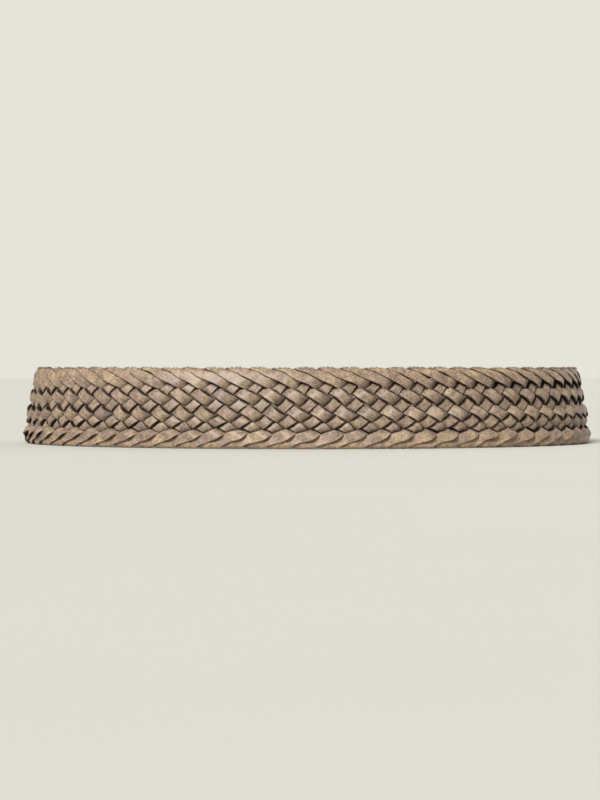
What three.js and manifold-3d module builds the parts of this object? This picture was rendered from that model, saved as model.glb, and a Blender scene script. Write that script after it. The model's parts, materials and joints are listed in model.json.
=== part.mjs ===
// A braided leather belt, fastened round into an oval and standing on its lower edge.
// Millimetres, +Z up. The middle of the back is at -Y and the fastening at +Y.
import * as THREE from 'three';
import { mergeVertices } from 'three/addons/utils/BufferGeometryUtils.js';
import Module from 'manifold-3d';

// The loop
const LOOP_HALF_WIDTH = 164;      // half axes of the oval through the middle of the leather
const LOOP_HALF_DEPTH = 123;
const BELT_HEIGHT = 45;
const FLARE = THREE.MathUtils.degToRad(8);   // the lower edge stands out wider than the upper one
const FRONT_LENGTH = 230;         // stretch without braid: two tabs and the clasp

// The braid
const STRAND_COUNT = 11;
const PITCH = 12.9;               // from one strand to the next, along the belt
const STRAND_WIDTH = 4.2;
const STRAND_THICKNESS = 1.5;
const EDGE_OUT = 1.42;            // how far the middle of a strand lies outside the belt's middle
const EDGE_IN = 0.68;             // or inside it, near the belt's edges
const BRAID_HIDDEN = 11;          // length of braid inside each tab
const SHORTEST_STEP = 0.8;        // no fold lies nearer than this to the end of a strand

// The rows where falling and rising strands cross, from the upper edge down to the lower one:
// the row's height, and how far a falling strand runs along the belt from the row above it, in
// pitches. The falling strand lies outside at rows 1, 2, 4, 6 and 8.
const ROWS = [
  { height: 43.6, advance: 0.00 },
  { height: 40.9, advance: 0.62 },
  { height: 37.1, advance: 0.64 },
  { height: 33.5, advance: 0.62 },
  { height: 28.8, advance: 0.60 },
  { height: 23.8, advance: 0.59 },
  { height: 19.0, advance: 0.58 },
  { height: 14.8, advance: 0.56 },
  { height: 11.3, advance: 0.50 },
  { height: 8.0, advance: 0.42 },
  { height: 4.6, advance: 0.35 },
  { height: 1.4, advance: 0.30 },
];

// The folds of a strand between two turns, by row, and how far outside the belt's middle the
// strand lies there. It arches over and under one strand at a time in the middle of the belt.
const FALLING = [
  { row: 2.38, out: EDGE_OUT },
  { row: 2.66, out: -EDGE_OUT },
  { row: 3.30, out: -EDGE_OUT },
  { row: 4, out: 2.4 },
  { row: 5, out: -2.4 },
  { row: 6, out: 2.4 },
  { row: 7, out: -2.5 },
  { row: 7.64, out: EDGE_IN },
  { row: 8.36, out: EDGE_IN },
  { row: 8.58, out: -EDGE_IN },
];
const RISING = [
  { row: 8.62, out: EDGE_OUT },
  { row: 8.34, out: -EDGE_OUT },
  { row: 7.66, out: -EDGE_OUT },
  { row: 7, out: 2.65 },
  { row: 6, out: -2.25 },
  { row: 5, out: 2.25 },
  { row: 4, out: -2.25 },
  { row: 3.34, out: EDGE_IN },
  { row: 2.64, out: EDGE_IN },
  { row: 2.42, out: -EDGE_IN },
];

// A strand's turn at the upper or lower edge: how far ahead along the belt, how far from the edge,
// and how far outside the belt's middle. It turns soon on the inside and slowly on the outside.
const TURN = [
  { ahead: -3.6, inset: 1.5, out: -EDGE_IN },
  { ahead: 1.2, inset: 0.1, out: -EDGE_IN },
  { ahead: 5.0, inset: 0.6, out: EDGE_OUT },
];

// Tabs and clasp
const WALL = 1.6;
const SLOT_HALF = 3.45;           // half the room between the two leaves of a tab
const SLOT_DEPTH = BRAID_HIDDEN + 3;
const TAB_HALF = 1.8;             // half the thickness where the leaves are sewn together
const KNEE_LENGTH = 8;            // the leaves come together behind the braid in two slopes
const KNEE_HALF = 3.2;
const TAPER_LENGTH = 18;
const STRAP_STEPS = 4;
const CLASP_WIDTH = 36;
const CLASP_HEIGHT = 44;
const BAR = 3.4;                  // between the clasp's edge and the slot that a tab passes through
const BAR_DEPTH = 3;
const CLASP_SLOT = 3.4;
const EYE_RADIUS = 2.6;
const EYE_OUTER = EYE_RADIUS + WALL;
const EYE_LENGTH = 17;            // narrow end of the tab, beside the clasp
const EYE_HEIGHT = CLASP_HEIGHT - 2 * BAR - 1;
const EYE_STEPS = 12;
const OVERLAP = 2;                // of the narrow end with the strap that it is cut from
const CORNER = 3;
const INNER_CORNER = 0.6;

const OVAL_STEPS = 3600;

// The oval, measured along its length from the middle of the back towards +X.
function measureOval() {
  const table = [];
  let length = 0;
  let last = null;
  for (let i = 0; i <= OVAL_STEPS; i += 1) {
    const turn = (2 * Math.PI * i) / OVAL_STEPS - Math.PI / 2;
    const point = new THREE.Vector2(LOOP_HALF_WIDTH * Math.cos(turn), LOOP_HALF_DEPTH * Math.sin(turn));
    length += last ? point.distanceTo(last) : 0;
    table.push({ length, turn });
    last = point;
  }
  return table;
}

const OVAL = measureOval();
const LOOP_LENGTH = OVAL[OVAL_STEPS].length;

function turnAt(along) {
  const wrapped = ((along % LOOP_LENGTH) + LOOP_LENGTH) % LOOP_LENGTH;
  let low = 0;
  let high = OVAL_STEPS;
  while (high - low > 1) {
    const middle = (low + high) >> 1;
    if (OVAL[middle].length > wrapped) high = middle;
    else low = middle;
  }
  const share = (wrapped - OVAL[low].length) / (OVAL[high].length - OVAL[low].length);
  return OVAL[low].turn + share * (OVAL[high].turn - OVAL[low].turn);
}

// A place on the belt: how far along the loop, how high, and how far out of the leather's middle.
function place(along, height, out) {
  const turn = turnAt(along);
  const outward = new THREE.Vector2(Math.cos(turn) / LOOP_HALF_WIDTH, Math.sin(turn) / LOOP_HALF_DEPTH);
  outward.normalize();
  const reach = out + Math.tan(FLARE) * (BELT_HEIGHT / 2 - height);
  return new THREE.Vector3(
    LOOP_HALF_WIDTH * Math.cos(turn) + outward.x * reach,
    LOOP_HALF_DEPTH * Math.sin(turn) + outward.y * reach,
    height,
  );
}

const BRAID_HALF = (LOOP_LENGTH - FRONT_LENGTH) / 2 + BRAID_HIDDEN;

// How far a falling strand has run when it reaches a row, with rows counted in fractions.
function fallingRun(row) {
  let run = 0;
  for (let i = 1; i < ROWS.length; i += 1) {
    run += ROWS[i].advance * THREE.MathUtils.clamp(row - i + 1, 0, 1);
  }
  return run * PITCH;
}

function risingRun(row) {
  return fallingRun(row) + (STRAND_COUNT - row) * PITCH;
}

function rowHeight(row) {
  const above = Math.min(Math.floor(row), ROWS.length - 2);
  return THREE.MathUtils.lerp(ROWS[above].height, ROWS[above + 1].height, row - above);
}

function headingAt(row, run) {
  const above = Math.max(row - 0.5, 0);
  const below = Math.min(row + 0.5, ROWS.length - 1);
  return new THREE.Vector2(run(below) - run(above), rowHeight(below) - rowHeight(above)).normalize();
}

// One strand's way down across the belt and up again, to the end of its upper turn. It falls over two strands, then
// under and over by turns, and under the last two; it rises in the same manner. Its folds run
// along the strands that it crosses.
function strandPeriod() {
  const path = [];
  const turn = (along, height, out) => path.push({ along, height, out, fold: null });
  const fall = (row, out) => path.push({
    along: fallingRun(row), height: rowHeight(row), out, fold: headingAt(row, risingRun),
  });
  const rise = (row, out) => path.push({
    along: risingRun(row), height: rowHeight(row), out, fold: headingAt(row, fallingRun),
  });
  const lowerTurn = fallingRun(ROWS.length - 1);
  const upperTurn = STRAND_COUNT * PITCH;
  const low = STRAND_WIDTH / 2;
  const high = BELT_HEIGHT - low;

  for (const { row, out } of FALLING) fall(row, out);
  for (const { ahead, inset, out } of TURN) turn(lowerTurn + ahead, low + inset, out);
  for (const { row, out } of RISING) rise(row, out);
  for (const { ahead, inset, out } of TURN) turn(upperTurn + ahead, high - inset, out);
  return path;
}

// All stations of one strand between the two ends of the braid.
function strandPath(index) {
  const period = strandPeriod();
  const reach = STRAND_COUNT * PITCH;
  const first = Math.floor((-BRAID_HALF - index * PITCH) / reach) - 1;
  const last = Math.ceil((BRAID_HALF - index * PITCH) / reach) + 1;
  const whole = [];
  for (let turn = first; turn <= last; turn += 1) {
    const start = index * PITCH + turn * reach;
    for (const station of period) whole.push({ ...station, along: station.along + start });
  }
  return cutPath(whole, -BRAID_HALF, BRAID_HALF);
}

function cutPath(whole, start, end) {
  const at = (limit) => {
    const next = whole.findIndex((station) => station.along > limit);
    const before = whole[next - 1];
    const after = whole[next];
    const share = (limit - before.along) / (after.along - before.along);
    return {
      along: limit,
      height: THREE.MathUtils.lerp(before.height, after.height, share),
      out: THREE.MathUtils.lerp(before.out, after.out, share),
      fold: before.fold && after.fold,
    };
  };
  const inner = whole.filter((station) => station.along > start && station.along < end);
  const ends = [];
  if (inner[0].along - start > SHORTEST_STEP) ends.push(at(start));
  ends.push(...inner);
  if (end - inner.at(-1).along > SHORTEST_STEP) ends.push(at(end));
  return ends;
}

// A flat leather strip along a path: four corners at each station, joined by flat-sided lengths.
function stripGeometry(path) {
  const corners = [];
  const heading = (from, to) => new THREE.Vector2(to.along - from.along, to.height - from.height).normalize();
  path.forEach((station, i) => {
    const before = heading(path[Math.max(i - 1, 0)], path[Math.max(i, 1)]);
    const after = heading(path[Math.min(i, path.length - 2)], path[Math.min(i + 1, path.length - 1)]);
    const middle = before.clone().add(after).normalize();
    const square = new THREE.Vector2(-middle.y, middle.x);
    const across = station.fold ? station.fold.clone() : square.clone();
    const slant = station.fold ? across.dot(square) : middle.dot(before);
    across.multiplyScalar(STRAND_WIDTH / 2 / slant);
    for (const [side, face] of [[-1, -1], [1, -1], [1, 1], [-1, 1]]) {
      corners.push(place(
        station.along + side * across.x,
        station.height + side * across.y,
        station.out + (face * STRAND_THICKNESS) / 2,
      ));
    }
  });
  const faces = [0, 2, 1, 0, 3, 2];
  for (let i = 0; i < path.length - 1; i += 1) {
    for (let k = 0; k < 4; k += 1) {
      const a = 4 * i + k;
      const b = 4 * i + ((k + 1) % 4);
      faces.push(a, b, a + 4, b, b + 4, a + 4);
    }
  }
  const end = 4 * (path.length - 1);
  faces.push(end, end + 1, end + 2, end, end + 2, end + 3);
  const geometry = new THREE.BufferGeometry();
  geometry.setFromPoints(corners);
  geometry.setIndex(faces);
  geometry.computeVertexNormals();
  return geometry;
}

// The nearest place on the oval to a point of the plan, measured along the loop.
function alongNear(x, y) {
  let best = 0;
  let least = Infinity;
  for (let i = 0; i <= OVAL_STEPS; i += 1) {
    const { turn } = OVAL[i];
    const gap = Math.hypot(LOOP_HALF_WIDTH * Math.cos(turn) - x, LOOP_HALF_DEPTH * Math.sin(turn) - y);
    if (gap < least) {
      least = gap;
      best = i;
    }
  }
  return OVAL[best].length;
}

// Leans upright walls outwards at the foot, as the whole belt leans.
function flareOut(geometry) {
  const position = geometry.getAttribute('position');
  const spot = new THREE.Vector3();
  for (let i = 0; i < position.count; i += 1) {
    spot.fromBufferAttribute(position, i);
    const along = alongNear(spot.x, spot.y);
    const straight = place(along, BELT_HEIGHT / 2, 0);
    const leaning = place(along, spot.z, 0);
    position.setXYZ(i, spot.x + leaning.x - straight.x, spot.y + leaning.y - straight.y, spot.z);
  }
  return geometry;
}

// An upright prism over an outline that is given as [distance along the loop, distance out].
function upright(outline, holes, bottom, height) {
  const plan = ([along, out]) => {
    const spot = place(along, BELT_HEIGHT / 2, out);
    return new THREE.Vector2(spot.x, spot.y);
  };
  const points = outline.map(plan);
  if (THREE.ShapeUtils.isClockWise(points)) points.reverse();
  const shape = new THREE.Shape(points);
  for (const hole of holes) shape.holes.push(new THREE.Path(hole.map(plan)));
  const geometry = new THREE.ExtrudeGeometry(shape, { depth: height, bevelEnabled: false, steps: 1 });
  geometry.translate(0, 0, bottom);
  return flareOut(geometry);
}

const wasm = await Module();
wasm.setup();

function toSolid(geometry) {
  const bare = geometry.clone();
  bare.deleteAttribute('normal');
  bare.deleteAttribute('uv');
  const merged = mergeVertices(bare, 1e-4);
  return new wasm.Manifold(new wasm.Mesh({
    numProp: 3,
    vertProperties: new Float32Array(merged.getAttribute('position').array),
    triVerts: new Uint32Array(merged.index.array),
  }));
}

function toGeometry(solid) {
  const mesh = solid.getMesh();
  const geometry = new THREE.BufferGeometry();
  geometry.setAttribute('position', new THREE.BufferAttribute(mesh.vertProperties, 3));
  geometry.setIndex(new THREE.BufferAttribute(mesh.triVerts, 1));
  geometry.computeVertexNormals();
  return geometry;
}

// A tab is a leather strap folded round the clasp's bar, with its two leaves sewn together and
// parted at the other end to hold the braid. Distances run from the mouth towards the clasp.
function tabGeometry(side) {
  const front = LOOP_LENGTH / 2;
  const eye = alongNear(CLASP_WIDTH / 2 - BAR / 2, LOOP_HALF_DEPTH);
  const eyeDistance = Math.abs(eye - front);
  const mouth = FRONT_LENGTH / 2;
  const at = (distance, out) => [front + side * (mouth - distance), out];
  const end = mouth - eyeDistance;
  const leaf = SLOT_HALF + WALL;

  const shoulder = end - EYE_LENGTH;
  const sewn = SLOT_DEPTH + TAPER_LENGTH;

  const outer = [[0, leaf], [SLOT_DEPTH, leaf], [SLOT_DEPTH + KNEE_LENGTH, KNEE_HALF]];
  for (let k = 0; k <= STRAP_STEPS; k += 1) {
    outer.push([THREE.MathUtils.lerp(sewn, shoulder, k / STRAP_STEPS), TAB_HALF]);
  }
  const slot = [[SLOT_DEPTH, SLOT_HALF], [SLOT_DEPTH / 2, SLOT_HALF], [0, SLOT_HALF]];
  const strap = [
    ...outer.map(([d, out]) => at(d, out)),
    ...outer.toReversed().map(([d, out]) => at(d, -out)),
    ...slot.toReversed().map(([d, out]) => at(d, -out)),
    ...slot.map(([d, out]) => at(d, out)),
  ];

  const ring = (radius, from, to) => {
    const points = [];
    for (let k = 0; k <= EYE_STEPS; k += 1) {
      const turn = THREE.MathUtils.lerp(from, to, k / EYE_STEPS);
      points.push(at(end + radius * Math.cos(turn), radius * Math.sin(turn)));
    }
    return points;
  };
  const neck = Math.PI - Math.asin(TAB_HALF / EYE_OUTER);
  const halfway = end - EYE_LENGTH / 2;
  const fold = [
    at(shoulder - OVERLAP, -TAB_HALF),
    at(halfway, -TAB_HALF),
    ...ring(EYE_OUTER, -neck, neck),
    at(halfway, TAB_HALF),
    at(shoulder - OVERLAP, TAB_HALF),
  ];
  const hole = ring(EYE_RADIUS, -Math.PI, Math.PI).slice(1);
  const body = toSolid(upright(strap, [], 0, BELT_HEIGHT));
  const loop = toSolid(upright(fold, [hole], (BELT_HEIGHT - EYE_HEIGHT) / 2, EYE_HEIGHT));
  return toGeometry(body.add(loop));
}

// The clasp is one plain plate with an upright slot near each end.
function claspGeometry() {
  const halfWidth = CLASP_WIDTH / 2;
  const halfHeight = CLASP_HEIGHT / 2;
  const plate = roundedRectangle(new THREE.Shape(), 0, halfWidth, halfHeight, CORNER);
  for (const side of [-1, 1]) {
    const middle = side * (halfWidth - BAR - CLASP_SLOT / 2);
    plate.holes.push(roundedRectangle(
      new THREE.Path(), middle, CLASP_SLOT / 2, halfHeight - BAR, INNER_CORNER,
    ));
  }
  const geometry = new THREE.ExtrudeGeometry(plate, {
    depth: BAR_DEPTH, bevelEnabled: false, curveSegments: 3,
  });
  const bar = place(alongNear(halfWidth - BAR / 2, LOOP_HALF_DEPTH), BELT_HEIGHT / 2, 0);
  geometry.translate(0, 0, -BAR_DEPTH / 2);
  geometry.rotateX(Math.PI / 2);
  geometry.translate(0, bar.y, BELT_HEIGHT / 2);
  return toGeometry(toSolid(flareOut(geometry)));
}

function roundedRectangle(path, middle, halfWidth, halfHeight, radius) {
  const right = middle + halfWidth - radius;
  const left = middle - halfWidth + radius;
  const top = halfHeight - radius;
  path.moveTo(right + radius, top);
  path.absarc(right, top, radius, 0, Math.PI / 2);
  path.absarc(left, top, radius, Math.PI / 2, Math.PI);
  path.absarc(left, -top, radius, Math.PI, Math.PI * 1.5);
  path.absarc(right, -top, radius, Math.PI * 1.5, Math.PI * 2);
  path.closePath();
  return path;
}

const leather = new THREE.MeshStandardMaterial({ color: 0x96826f, roughness: 0.5, metalness: 0 });
const tabLeather = new THREE.MeshStandardMaterial({ color: 0x8c7762, roughness: 0.55, metalness: 0 });
const metal = new THREE.MeshStandardMaterial({ color: 0x7c6c59, roughness: 0.35, metalness: 1 });

const belt = new THREE.Group();

function addPiece(name, geometry, material) {
  const piece = new THREE.Mesh(geometry, material);
  piece.name = name;
  belt.add(piece);
}

for (let index = 0; index < STRAND_COUNT; index += 1) {
  const name = `strand_${String(index + 1).padStart(2, '0')}`;
  addPiece(name, stripGeometry(strandPath(index)), leather);
}
addPiece('tab_left', tabGeometry(1), tabLeather);
addPiece('tab_right', tabGeometry(-1), tabLeather);
addPiece('clasp', claspGeometry(), metal);

// The origin is on the surface that the belt stands on, in the middle of its plan.
const box = new THREE.Box3().setFromObject(belt);
const middle = box.getCenter(new THREE.Vector3());
belt.position.set(-middle.x, -middle.y, -box.min.z);

export default belt;
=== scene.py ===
"""The looks of a braided leather belt, built round its solid model.

The belt stands on its lower edge as a closed oval loop. All sizes are in metres, +Z is up, the
middle of the back is at -Y and the fastening at +Y.
"""
import json
import math
import random
from types import SimpleNamespace

import bpy
import numpy as np
from bpy.props import FloatProperty, FloatVectorProperty, IntProperty, PointerProperty
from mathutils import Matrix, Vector


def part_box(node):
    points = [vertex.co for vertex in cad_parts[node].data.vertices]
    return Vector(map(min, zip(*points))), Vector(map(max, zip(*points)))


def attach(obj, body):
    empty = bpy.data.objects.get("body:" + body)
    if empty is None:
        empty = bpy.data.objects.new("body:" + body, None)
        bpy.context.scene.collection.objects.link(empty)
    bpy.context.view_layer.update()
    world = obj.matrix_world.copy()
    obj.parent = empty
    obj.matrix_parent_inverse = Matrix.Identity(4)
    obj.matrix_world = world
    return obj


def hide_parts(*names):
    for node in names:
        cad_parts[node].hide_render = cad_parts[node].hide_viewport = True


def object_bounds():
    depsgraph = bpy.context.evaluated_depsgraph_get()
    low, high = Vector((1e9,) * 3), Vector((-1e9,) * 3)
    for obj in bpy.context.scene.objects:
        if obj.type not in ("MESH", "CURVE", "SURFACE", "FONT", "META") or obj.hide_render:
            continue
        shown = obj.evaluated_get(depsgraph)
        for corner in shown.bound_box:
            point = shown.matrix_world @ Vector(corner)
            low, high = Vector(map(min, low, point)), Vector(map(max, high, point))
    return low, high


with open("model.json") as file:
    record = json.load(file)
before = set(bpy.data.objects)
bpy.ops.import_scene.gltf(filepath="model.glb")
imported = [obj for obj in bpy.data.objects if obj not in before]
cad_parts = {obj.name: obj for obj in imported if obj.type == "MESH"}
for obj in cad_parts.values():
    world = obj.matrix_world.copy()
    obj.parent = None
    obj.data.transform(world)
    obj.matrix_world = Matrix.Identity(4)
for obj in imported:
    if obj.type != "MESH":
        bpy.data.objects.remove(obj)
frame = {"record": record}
CAD_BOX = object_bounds()
BELT_HEIGHT = round(CAD_BOX[1][2] - CAD_BOX[0][2], 4)
STRANDS = sum(part["node"].startswith("strand_") for part in frame["record"]["subparts"])

bl_info = {
    "name": "Braided leather belt",
    "version": (1, 0, 0),
    "blender": (4, 5, 0),
    "location": "3D View > Sidebar > Belt",
    "description": "Builds the strands, tabs, stitches and clasp of a braided leather belt",
    "category": "Add Mesh",
}

MM = 0.001
BODY = "root"
FRAME_HEIGHT = 800             # of the picture, in pixels
SENSOR = 36.0                  # of the camera, in millimetres on its long side

# The rows where falling and rising strands cross, from the upper edge down to the lower one:
# the row's height, and how far a falling strand runs along the belt from the row above, in pitches.
ROWS = [
    {"height": 43.6 * MM, "advance": 0.00},
    {"height": 40.9 * MM, "advance": 0.62},
    {"height": 37.1 * MM, "advance": 0.64},
    {"height": 33.5 * MM, "advance": 0.62},
    {"height": 28.8 * MM, "advance": 0.60},
    {"height": 23.8 * MM, "advance": 0.59},
    {"height": 19.0 * MM, "advance": 0.58},
    {"height": 14.8 * MM, "advance": 0.56},
    {"height": 11.3 * MM, "advance": 0.50},
    {"height": 8.0 * MM, "advance": 0.42},
    {"height": 4.6 * MM, "advance": 0.35},
    {"height": 1.4 * MM, "advance": 0.30},
]
LAST_ROW = len(ROWS) - 1
ROW_HEIGHTS = [row["height"] for row in ROWS]
ROW_RUNS = np.cumsum([row["advance"] for row in ROWS])
FALLING_OUTSIDE = (0, 1, 2, 4, 6, 8)   # rows where the falling strand lies outside the rising one
FALLING_BENDS = range(1, 9)            # rows where the middle line of a falling strand bends
RISING_BENDS = range(10, 2, -1)
NARROW_ROWS = (2.5, 8.5)               # between these rows the side that shows is slimmer
WIDE_ROWS = (3.5, 7.5)                 # between these rows the side that hides is wider

# Where a strand bends before, at and after the fold over an edge: how far ahead of the fold along
# the belt, how far past it across the belt, how much of the bulge of the outer side it has, and
# how much of the tilt with which it lies on its neighbour like a shingle.
UPPER_FOLD = [
    {"ahead": -6.2 * MM, "past": -3.1 * MM, "bulge": 0.0, "tilt": 1.0},
    {"ahead": 0.0 * MM, "past": 0.0 * MM, "bulge": 0.5, "tilt": 0.2},
    {"ahead": 5.2 * MM, "past": 2.4 * MM, "bulge": 1.0, "tilt": 1.0},
]
LOWER_FOLD = [{**UPPER_FOLD[0], "ahead": -6.0 * MM}, *UPPER_FOLD[1:]]
UPPER_FOLD_AT = -0.7 * MM      # how far along the belt a strand's upper fold is from its first row
LOWER_FOLD_AT = -0.8 * MM      # and its lower fold from its last row

PATTERN_STEP = 1.37            # more than a strand's length, so no two strands share a pattern
TAB_PATTERN = 20               # the tabs' patterns lie this many steps on, past the strands'


def metres(name, description, default):
    return FloatProperty(name=name, description=description, default=default, unit="LENGTH")


def degrees(name, description, default):
    return FloatProperty(
        name=name, description=description, default=math.radians(default), unit="ROTATION")


def amount(name, description, default):
    return FloatProperty(name=name, description=description, default=default)


def whole(name, description, default):
    return IntProperty(name=name, description=description, default=default)


def direction(name, description, default):
    return FloatVectorProperty(name=name, description=description, default=default, subtype="DIRECTION")


def linear_colour(name, description, red, green, blue):
    return FloatVectorProperty(
        name=name, description=description, default=(red, green, blue, 1), size=4, subtype="COLOR")


class LoopSizes(bpy.types.PropertyGroup):
    half_width: metres("Half width", "Half the oval's width, in the middle of the leather", 164 * MM)
    half_depth: metres("Half depth", "Half the oval's depth, in the middle of the leather", 123 * MM)
    height: metres("Height", "Width of the belt's band", BELT_HEIGHT)
    flare: degrees("Flare", "How far the band leans out towards its lower edge", 8)
    front_length: metres("Front length", "Stretch of tabs and clasp, without braid", 230 * MM)


class BraidSizes(bpy.types.PropertyGroup):
    strands: whole("Strands", "Number of leather strands", STRANDS)
    pitch: metres("Pitch", "From one strand to the next, along the belt", 12.9 * MM)
    falling_width: metres("Falling width", "Width of the side that shows where it falls", 5.5 * MM)
    rising_width: metres("Rising width", "Width of the side that shows where it rises", 4.4 * MM)
    inner_width: metres("Inner width", "Width of the side pressed against other strands", 8.4 * MM)
    edge_width: metres("Edge width", "Width of a strand along the belt's edges", 5.8 * MM)
    thickness: metres("Thickness", "Thickness of the strand leather", 1.7 * MM)
    corner: metres("Corner", "Rounding of a strand's four long edges", 0.42 * MM)
    fold: metres("Fold", "Radius of the folds over the belt's edges", 0.8 * MM)
    bow: metres("Bow", "How far a fold's ends lie inside the belt's edge", 1.0 * MM)
    upper_bulge: metres("Upper bulge", "How far the strands stand out at the upper edge", 0.4 * MM)
    lower_bulge: metres("Lower bulge", "How far the strands stand out at the lower edge", 0.9 * MM)
    crown: metres("Crown", "How far a strand's faces swell", 0.07 * MM)
    hidden: metres("Hidden length", "Length of braid inside each tab", 11 * MM)
    station: metres("Station step", "Distance between two sections of a strand", 0.65 * MM)
    twist: degrees("Twist", "How far a strand's face tips to one side here and there", 5)
    shingle: degrees("Shingle", "How far the strands at both edges tip, to lie on each other", 12)
    wander: metres("Wander", "How far a strand lies off its true way here and there", 0.45 * MM)
    uneven: amount("Uneven width", "Share by which a strand is wider or narrower in places", 0.08)
    fibres: whole("Fibres", "Loose fibres on the cut edges and upper folds of a strand", 900)
    fibre_length: metres("Fibre length", "Longest loose fibre", 1.2 * MM)
    fibre_base: metres("Fibre base", "Half the width of a fibre at its root", 0.07 * MM)


class TabSizes(bpy.types.PropertyGroup):
    wall: metres("Wall", "Thickness of the tab leather", 1.6 * MM)
    slot_half: metres("Slot half", "Half the room between the leaves at the braid", 3.45 * MM)
    slot_depth: metres("Slot depth", "Depth of the room that holds the braid", 14 * MM)
    knee_length: metres("Knee length", "First slope behind the braid", 8 * MM)
    knee_half: metres("Knee half", "Half the tab's thickness after the first slope", 3.2 * MM)
    taper: metres("Taper", "Length in which the leaves come together", 18 * MM)
    sewn_half: metres("Sewn half", "Half the thickness where the leaves are sewn", 1.8 * MM)
    eye_radius: metres("Eye radius", "Inner radius of the fold round the clasp's bar", 2.6 * MM)
    narrow_length: metres("Narrow length", "Length of the tab's narrow end", 17 * MM)
    narrow_height: metres("Narrow height", "Height of the tab's narrow end", 36.2 * MM)
    shoulder: metres("Shoulder", "Length of the curve down to the narrow end", 5 * MM)
    corner: metres("Corner", "Rounding of the tab's long edges", 0.4 * MM)
    seam_inset: metres("Seam inset", "From the tab's edge to its seam", 3 * MM)
    pucker: metres("Pucker", "Depth of the groove that the seam pulls in", 0.25 * MM)
    stitch_pitch: metres("Stitch pitch", "From one stitch to the next", 4 * MM)
    stitch_length: metres("Stitch length", "Length of thread in one stitch", 3.1 * MM)
    thread: metres("Thread", "Half the thickness of the thread", 0.4 * MM)


class ClaspSizes(bpy.types.PropertyGroup):
    width: metres("Width", "Width of the plate", 36 * MM)
    height: metres("Height", "Height of the plate", 44 * MM)
    depth: metres("Depth", "Thickness of the plate", 3 * MM)
    bar: metres("Bar", "From the plate's edge to its slots", 3.4 * MM)
    slot: metres("Slot", "Width of the slots for the tabs", 3.4 * MM)
    corner: metres("Corner", "Radius of the plate's corners", 3 * MM)
    inner_corner: metres("Inner corner", "Radius of the slots' corners", 0.6 * MM)
    bevel: metres("Bevel", "Rounding of the plate's edges", 0.45 * MM)


class BeltColours(bpy.types.PropertyGroup):
    taupe: linear_colour("Taupe", "Leather", 0.300, 0.213, 0.150)
    mauve: linear_colour("Mauve", "Leather where it drifts to grey", 0.262, 0.190, 0.150)
    olive: linear_colour("Olive", "Leather where it drifts to tan", 0.335, 0.252, 0.160)
    # the darkest cut edge is partly the leather's own edge colour and partly painted shade along the
    # strands' sides
    dark_cut_and_shade: linear_colour("Dark cut", "Darkest fibres of a cut edge", 0.035, 0.023, 0.015)
    cut_pale: linear_colour("Pale cut", "Palest fibres of a cut edge", 0.15, 0.10, 0.065)
    flesh_dark: linear_colour("Dark flesh", "Darkest of the inner side", 0.110, 0.078, 0.054)
    flesh_pale: linear_colour("Pale flesh", "Palest of the inner side", 0.210, 0.155, 0.110)
    # painted shade: the tint that leather is multiplied by where another strand lies over it
    shade: linear_colour("Shade", "Tint of leather under another strand", 0.075, 0.045, 0.025)
    thread_dark: linear_colour("Dark thread", "Thread between its plies", 0.16, 0.105, 0.065)
    thread_pale: linear_colour("Pale thread", "Thread on its plies", 0.40, 0.29, 0.19)
    metal_dark: linear_colour("Dark metal", "Clasp where it is dull", 0.22, 0.165, 0.105)
    metal_pale: linear_colour("Pale metal", "Clasp where it is worn", 0.32, 0.245, 0.155)


class StudioSizes(bpy.types.PropertyGroup):
    distance: metres("Camera distance", "From the camera to the middle of the loop", 1.327)
    camera_height: metres("Camera height", "Height of the camera above the floor", 0.040)
    focal: amount("Focal length", "Focal length of the camera, in millimetres", 98.8)
    look_down: amount("Look down", "Pixels from the horizon down to the picture's middle", 23.9)
    look_left: amount("Look left", "How far the picture is shifted, in pixels", -7.0)
    floor_half: metres("Floor", "Half the floor's width", 40.0)
    key_from: direction("Key direction", "Where the main light comes from", (-0.31, -0.69, 0.66))
    key_strength: amount("Key light", "Strength of the main light", 3.6)
    key_spread: degrees("Key softness", "How wide the main light is", 24)
    fill_from: direction("Fill direction", "Where the second light comes from", (0.45, 0.75, 0.5))
    fill_strength: amount("Fill light", "Strength of the second light", 0.6)
    fill_spread: degrees("Fill softness", "How wide the second light is", 60)
    ambient: amount("Ambient", "Strength of the light from all round", 0.34)
    ambient_colour: linear_colour("Ambient colour", "Light from all round", 0.94, 0.95, 0.95)
    backdrop: linear_colour("Backdrop", "Background that the camera sees", 0.783, 0.776, 0.685)
    floor_dark: linear_colour("Dark floor", "Floor where it is darkest", 0.620, 0.608, 0.530)
    floor_pale: linear_colour("Pale floor", "Floor where it is palest", 0.640, 0.628, 0.552)


def bell(spread, step):
    """Weights of a soft average of values that lie a step apart, out to four spreads."""
    reach = int(4 * spread / step)
    weights = np.exp(-0.5 * (np.arange(-reach, reach + 1) * step / spread) ** 2)
    return weights / weights.sum()


def smooth_round(values, spread, step, growth=0.0):
    """Soft average of values that repeat after the last one, growth higher each time."""
    weights = bell(spread, step)
    reach = len(weights) // 2
    row = np.concatenate([values[-reach:] - growth, values, values[:reach] + growth])
    return np.convolve(row, weights, "valid")


def lengths_along(points):
    """How far along a line each of its points lies."""
    steps = np.linalg.norm(np.diff(points, axis=0), axis=1)
    return np.concatenate([[0], np.cumsum(steps)])


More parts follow.
